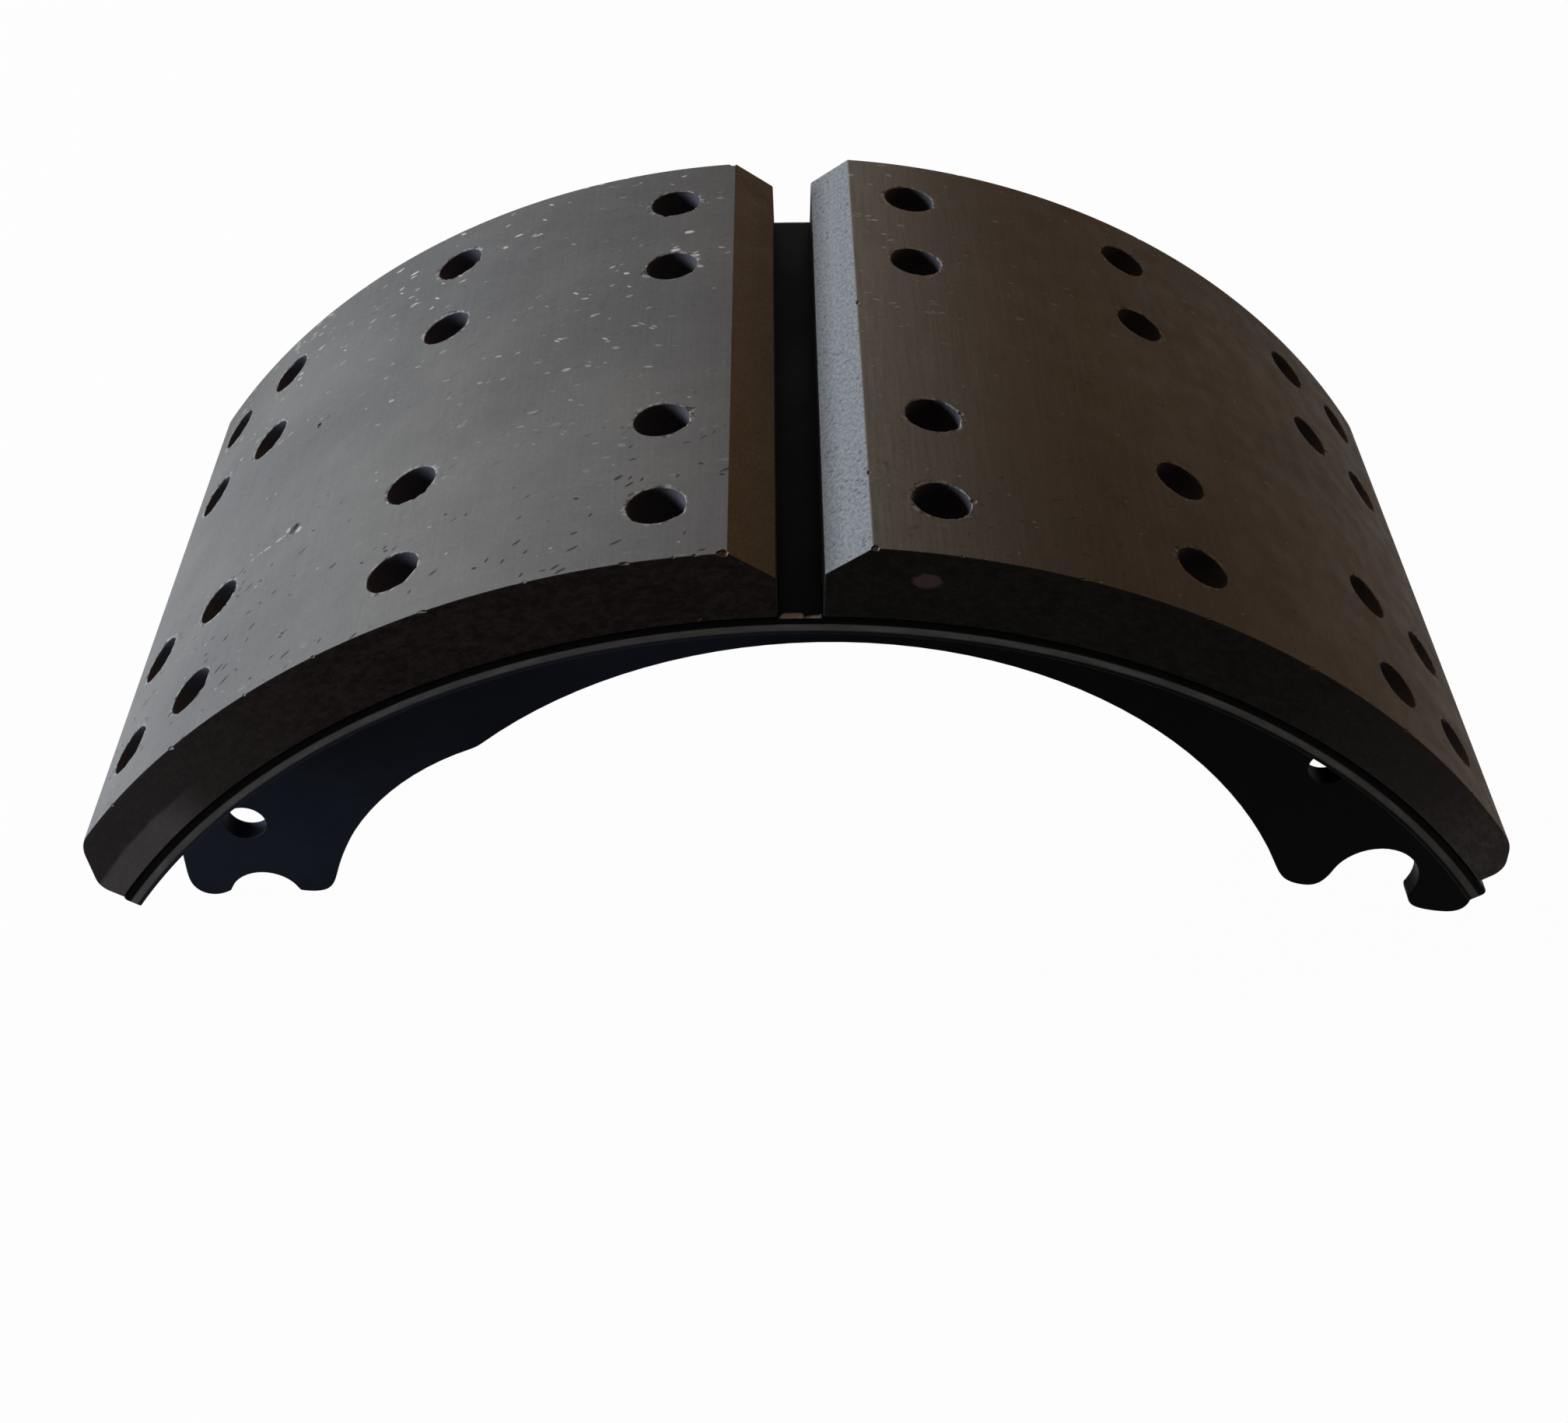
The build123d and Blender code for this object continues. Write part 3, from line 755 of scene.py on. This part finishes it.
# chips out of edges and faces: angle, then in mm the place along the drum axis, the height
# over the face and the half sizes
nicks = {
    "cam": [
        (-6.35, -88.6, 0.0, (1.5, 1.1, 0.9)), (-7.9, -89.0, 0.1, (0.9, 0.6, 0.5)),
        (-9.1, -88.9, 0.1, (0.6, 0.5, 0.4)), (-11.9, -88.9, 0.1, (1.5, 0.6, 0.6)),
        (-17.6, -88.9, 0.2, (0.9, 0.6, 0.5)), (-23.9, -88.9, 0.2, (1.8, 0.6, 0.5)),
        (-31.2, -88.9, 0.2, (1.0, 0.6, 0.5)), (-36.4, -88.9, 0.2, (0.7, 0.5, 0.5)),
        (-43.0, -88.9, 0.2, (1.3, 0.7, 0.6)), (-49.5, -88.9, 0.2, (0.9, 0.6, 0.5)),
        (-8.62, -32.6, 0.15, (1.7, 1.2, 0.6)), (-36.74, 19.8, 0.25, (2.0, 1.3, 0.6)),
        (-35.9, 21.2, 0.25, (0.9, 0.7, 0.45)), (-36.04, -26.9, 0.25, (1.6, 1.1, 0.55)),
        (-36.64, -29.0, 0.25, (0.8, 0.8, 0.45)), (-14.0, 88.9, 0.2, (1.2, 0.6, 0.6)),
        (-28.5, 88.9, 0.2, (1.0, 0.6, 0.5)), (-40.5, 88.9, 0.2, (1.4, 0.6, 0.5)),
        (-6.3, 88.6, 0.0, (1.0, 1.0, 0.8)),
    ],
    "anchor": [
        (2.0, -88.7, 0.0, (1.1, 0.9, 0.8)), (6.8, -88.9, 0.2, (0.7, 0.5, 0.5)),
        (13.9, -88.9, 0.2, (1.2, 0.6, 0.5)), (21.7, -88.9, 0.2, (0.8, 0.5, 0.5)),
        (29.3, -88.9, 0.2, (1.4, 0.6, 0.5)), (37.4, -88.9, 0.2, (0.9, 0.6, 0.5)),
        (44.8, -88.9, 0.2, (1.1, 0.6, 0.5)), (7.75, -33.2, 0.15, (1.1, 0.9, 0.5)),
        (7.85, -68.0, 0.15, (1.2, 0.9, 0.5)), (1.9, -61.0, 0.0, (0.6, 0.9, 0.5)),
        (1.9, 12.0, 0.0, (0.5, 1.1, 0.5)), (9.9, 88.9, 0.2, (1.1, 0.6, 0.5)),
        (24.5, 88.9, 0.2, (1.3, 0.6, 0.6)), (40.2, 88.9, 0.2, (0.9, 0.6, 0.5)),
    ],
}
# each block: the way it lies, its thickness at the face's inner and outer end, and the
# length of its outer chamfer in mm
blocks = {
    "cam": (-1, 18.1 * MM, 16.1 * MM, 10.6),
    "anchor": (1, 19.0 * MM, 11.6 * MM, 7.3),
}
for side, block_sizes in blocks.items():
    name = f"lining_{side}_block"
    centre = face_centre(*block_sizes)
    circles = ((centre, face_radius), (arc_centre, table_radius))
    loop = refine_arcs(front_loops(name)[0], circles, 2.0 * MM)
    block = prism("visual_" + name, loop, -shoe_half, shoe_half, 0.00035, 2)
    bm = bmesh.new()
    for angle in columns[side]:
        for y in (-rows[1], -rows[0], rows[0], rows[1]):
            bore(bm, angle, y, centre)
    subtract(block, from_bmesh("cutter", bm))
    bm = bmesh.new()
    for seed, (angle, y, rise, size) in enumerate(nicks[side]):
        spot = polar(angle, face_reach(angle, centre) + rise * MM, y * MM)
        nick(bm, spot, [MM * s for s in size], seed)
    subtract(block, from_bmesh("cutter", bm))
    smooth(block, 42)
    profile_normals(block, loop)
    dress(block, lining_material, "lining", name)


# ---------------------------------------------------------------- table
def section(top, top_edge, bottom_edge, steps=5):
    """Outline (y, radius) of the table's cross-section, its long edges rounded."""
    out = []
    for side, level, inward, size, start in (
        (1, top, -1, top_edge, 90), (1, web_radius, 1, bottom_edge, 0),
        (-1, web_radius, 1, bottom_edge, -90), (-1, top, -1, top_edge, 180),
    ):
        middle = Vector((side * (shoe_half - size), level + inward * size))
        for k in range(steps + 1):
            a = radians(start - 90 * k / steps)
            out.append(middle + Vector((cos(a), sin(a))) * size)
    return out


# the top stays a little under the linings, so that the two faces don't coincide
outline = section(table_radius - 0.00002, 0.0012, 0.0002)
table_steps = 110
table_sweep = table_angles[1] - table_angles[0]
bm = bmesh.new()
rings = []
for k in range(table_steps + 1):
    angle = table_angles[0] + table_sweep * k / table_steps
    rings.append([bm.verts.new(polar(angle, p.y, p.x)) for p in outline])
skin(bm, rings)
ends = [bm.faces.new(rings[0]), bm.faces.new(rings[-1][::-1])]
bmesh.ops.recalc_face_normals(bm, faces=bm.faces)
end_edges = [e for f in ends for e in f.edges]
bmesh.ops.bevel(bm, geom=end_edges, offset=0.0003, segments=2, profile=0.5, affect="EDGES")
table = from_bmesh("visual_shoe_table", bm)
smooth(table, 40)
dress(table, table_material, "shoe_paint", "shoe_table")

# ---------------------------------------------------------------- webs
seats = (  # centre (x, z) and radius of the anchor seat and the roller seat
    (Vector((0.15528, 0.012505)), 0.0129),
    (Vector((-0.161828, -0.0009)), 0.0102),
)
foot_height = 0.024  # the feet and lips are below this


def soften_feet(loop, passes, growth=0.0020):
    """Widens the anchor hook and rounds the web's feet and lips, leaving the seats."""
    points = []
    for p, q in zip(loop, loop[1:] + loop[:1]):
        low = min(p.y, q.y) < foot_height
        n = max(1, round((q - p).length / 0.0004)) if low else 1
        points += [p.lerp(q, k / n) for k in range(n)]
    for p in points:
        p.x += growth * clamp((p.x - 0.171) / 0.006) * clamp((foot_height - p.y) / 0.008)
    free = [i for i, p in enumerate(points)
            if p.y < foot_height and all((p - c).length > r + 0.00015 for c, r in seats)]
    for _ in range(passes):
        moved = {}
        for i in free:
            beside = points[i - 1] + points[(i + 1) % len(points)]
            moved[i] = points[i] * 0.5 + beside * 0.25
        for i, p in moved.items():
            points[i] = p
    # rounding lifts the tips, so each end is let down to the ground again
    for near in (lambda p: p.x < 0, lambda p: p.x > 0):
        foot = [i for i in free if near(points[i])]
        lift = min(points[i].y for i in foot)
        for i in foot:
            points[i].y -= lift * (1 - points[i].y / foot_height)
    return points


for name, sign in (("web_front", -1), ("web_rear", 1)):
    loops = front_loops(name)
    web = prism("visual_" + name, soften_feet(loops[0], 140),
                sign * web_faces[0], sign * web_faces[1], 0.0005, 3)
    bm = bmesh.new()
    for loop in loops[1:]:
        middle = sum(loop, Vector((0, 0))) / len(loop)
        radius = sum((p - middle).length for p in loop) / len(loop)
        place = Matrix.Translation((middle.x, 0, middle.y)) @ Matrix.Rotation(pi / 2, 4, "X")
        lathe(bm, [(0, -0.05), (radius, -0.05), (radius, 0.05), (0, 0.05)], place, 56)
    subtract(web, from_bmesh("cutter", bm))
    smooth(web, 35)
    dress(web, web_material, "shoe_paint", name)

# ---------------------------------------------------------------- rivets
head = 2.0 * MM
tail = -grip - (table_radius - web_radius) - 0.1 * MM
head_radius, rivet_radius = 0.0060, 0.00315
# over the head from the axis, down the shank, round the rolled tail and up its bore
rivet_profile = [
    (0, head - 0.0004), (0.0028, head - 0.0004), (0.0033, head - 0.0001), (0.0050, head),
    (0.0057, head - 0.0002), (head_radius, head - 0.0006), (head_radius, 0.0001),
    (rivet_radius, 0.0), (rivet_radius, tail),
    (0.0045, tail), (0.00475, tail - 0.0005), (0.0046, tail - 0.0012),
    (0.0040, tail - 0.0018), (0.0033, tail - 0.0020), (0.0027, tail - 0.0017),
    (0.0023, tail - 0.0008), (0.0021, tail + 0.0006), (0.0021, tail + 0.0020),
    (0, tail + 0.0022),
]
for side in ("cam", "anchor"):
    for column, angle in enumerate(columns[side], 1):
        for pair, row in zip(("inner", "outer"), rows):
            bm = bmesh.new()
            for y in (-row, row):
                lathe(bm, rivet_profile, rivet_place(angle, y))
            name = f"rivets_{side}_{column}_{pair}"
            rivets = from_bmesh("visual_" + name, bm)
            smooth(rivets, 40)
            dress(rivets, steel_material, "rivet_steel", name)

# ---------------------------------------------------------------- welds
weld_leg = 4.5 * MM
stitch, end_stitch, end_margin = 9.0, 5.0, 0.6  # degrees
weld_arcs = [(middle_angle + column_pitch * k - stitch / 2, stitch) for k in range(-2, 3)]
weld_arcs += [(table_angles[0] + end_margin, end_stitch),
              (table_angles[1] - (end_stitch + end_margin), end_stitch)]


def bead(bm, start, sweep, face, way):
    """Adds one weld stitch, in the corner between the table and the web's face at y = face."""
    steps, across = int(sweep * 9), 7
    phase = rng.random() * 6
    rings = []
    for k in range(steps + 1):
        t = k / steps
        end = min(1.0, min(t, 1 - t) * sweep / 0.9)
        grow = max(0.12, (1 - (1 - end) ** 2) ** 0.5)
        rough = noise.noise(Vector((t * sweep * 1.3, phase, 0)))
        leg = weld_leg * grow * (1 + 0.028 * sin(t * sweep * 9.5 + phase) + 0.05 * rough)
        angle = start + sweep * t
        ring = []
        for j in range(across + 1):
            s = j / across
            bulge = 0.62 + 0.10 * sin(pi * s)
            a = s * pi / 2
            out = leg * (1 - s) + (cos(a) - (1 - s)) * leg * (bulge - 0.5)
            down = leg * s + (sin(a) - s) * leg * (bulge - 0.5)
            ring.append(polar(angle, web_radius - down, face + way * out))
        ring.append(polar(angle, web_radius + 0.0001, face - way * 0.0001))
        rings.append([bm.verts.new(p) for p in ring])
    skin(bm, rings)
    bm.faces.new(rings[0])
    bm.faces.new(rings[-1][::-1])


for name, face, way in (
    ("weld_front_outer", -web_faces[1], -1),
    ("weld_front_inner", -web_faces[0], 1),
    ("weld_rear_inner", web_faces[0], -1),
    ("weld_rear_outer", web_faces[1], 1),
):
    bm = bmesh.new()
    for start, sweep in weld_arcs:
        bead(bm, start, sweep, face, way)
    weld = from_bmesh("visual_" + name, bm)
    smooth(weld, 50)
    dress(weld, web_material, "shoe_paint", name)

# ---------------------------------------------------------------- floor
# white where it is seen, but light that bounces off it is a warm grey's
half_floor, floor_drop = 6, 0.0002
bm = bmesh.new()
for x, y in ((-1, -1), (1, -1), (1, 1), (-1, 1)):
    bm.verts.new((x * half_floor, y * half_floor, -floor_drop))
bm.faces.new(bm.verts)
floor = from_bmesh("floor", bm)
look = Look(bpy.data.materials.new("floor"))
plain = look.add("ShaderNodeBsdfDiffuse", {"Color": (0.22, 0.19, 0.165)})
shadowed = look.add("ShaderNodeBsdfDiffuse", {"Color": (0.80, 0.80, 0.80)})
white = look.add("ShaderNodeEmission", {"Color": (1, 1, 1), "Strength": 1.0})
pale = look.add("ShaderNodeMixShader", {0: 0.975, 1: shadowed, 2: white})
mixed = look.add("ShaderNodeMixShader", {0: look.seen_directly(), 1: plain, 2: pale})
floor.data.materials.append(look.close(mixed))

# ---------------------------------------------------------------- world and lights
# white where it is seen, but a dim warm light on the part
look = Look(bpy.data.worlds.new("world"))
dim = look.add("ShaderNodeBackground", {"Color": (1.0, 0.72, 0.50), "Strength": 0.014})
bright = look.add("ShaderNodeBackground", {"Color": (1, 1, 1), "Strength": 1.0})
mixed = look.add("ShaderNodeMixShader", {0: look.seen_directly(), 1: dim, 2: bright})
scene.world = look.close(mixed, "World")


def area_light(name, place, target, width, height, power, color):
    data = bpy.data.lights.new(name, "AREA")
    data.shape = "RECTANGLE"
    data.size, data.size_y = width, height
    data.energy = power
    data.color = color
    lamp = new_object(name, data)
    lamp.location = place
    aim = Vector(target) - Vector(place)
    lamp.rotation_euler = aim.to_track_quat("-Z", "Y").to_euler()
    lamp.visible_camera = False


middle = (0, 0, 0.10)
cam_foot = (-0.16, -0.09, 0.05)
area_light("window", (-3.9, 0.40, 1.00), middle, 2.0, 1.15, 233.0, (0.80, 0.905, 1.0))
area_light("ceiling", (0.2, 0.3, 2.2), middle, 2.0, 2.0, 4.9, (1.0, 0.595, 0.27))
area_light("right_wall", (2.5, -0.1, 0.32), middle, 1.4, 1.0, 4.0, (1.0, 0.59, 0.38))
area_light("left_bounce", (-0.46, -0.34, 0.06), cam_foot, 0.25, 0.20, 0.17, (0.66, 0.80, 1.0))
area_light("rear_wall", (0.9, 2.3, 0.35), middle, 1.6, 1.0, 3.6, (1.0, 0.70, 0.46))

# ---------------------------------------------------------------- camera
level_turn = 1.3224  # degrees about the drum axis, for a shoe that stands level
eye = Vector((-28.83 * MM, -434.6 * MM, 433.02 * MM))
yaw, pitch, roll = radians(0.71), radians(41.57), radians(0.42)
focal_pixels, frame_pixels, sensor_mm = 2629.0, 2016.0, 36.0
ahead = Vector((sin(yaw) * cos(pitch), cos(yaw) * cos(pitch), -sin(pitch)))
right = Vector((cos(yaw), -sin(yaw), 0))
up = right.cross(ahead)
right, up = cos(roll) * right + sin(roll) * up, -sin(roll) * right + cos(roll) * up
turn = Matrix.Rotation(radians(-level_turn), 3, "Y")
ahead, right, up = turn @ ahead, turn @ right, turn @ up
camera_data = bpy.data.cameras.new("camera")
camera_data.sensor_width = sensor_mm
camera_data.lens = focal_pixels / frame_pixels * sensor_mm
camera_data.clip_start = 0.01
camera = new_object("camera", camera_data)
pose = Matrix((right, up, -ahead)).transposed().to_4x4()
pose.translation = eye
camera.matrix_world = pose
scene.camera = camera

scene.view_settings.view_transform = "Standard"
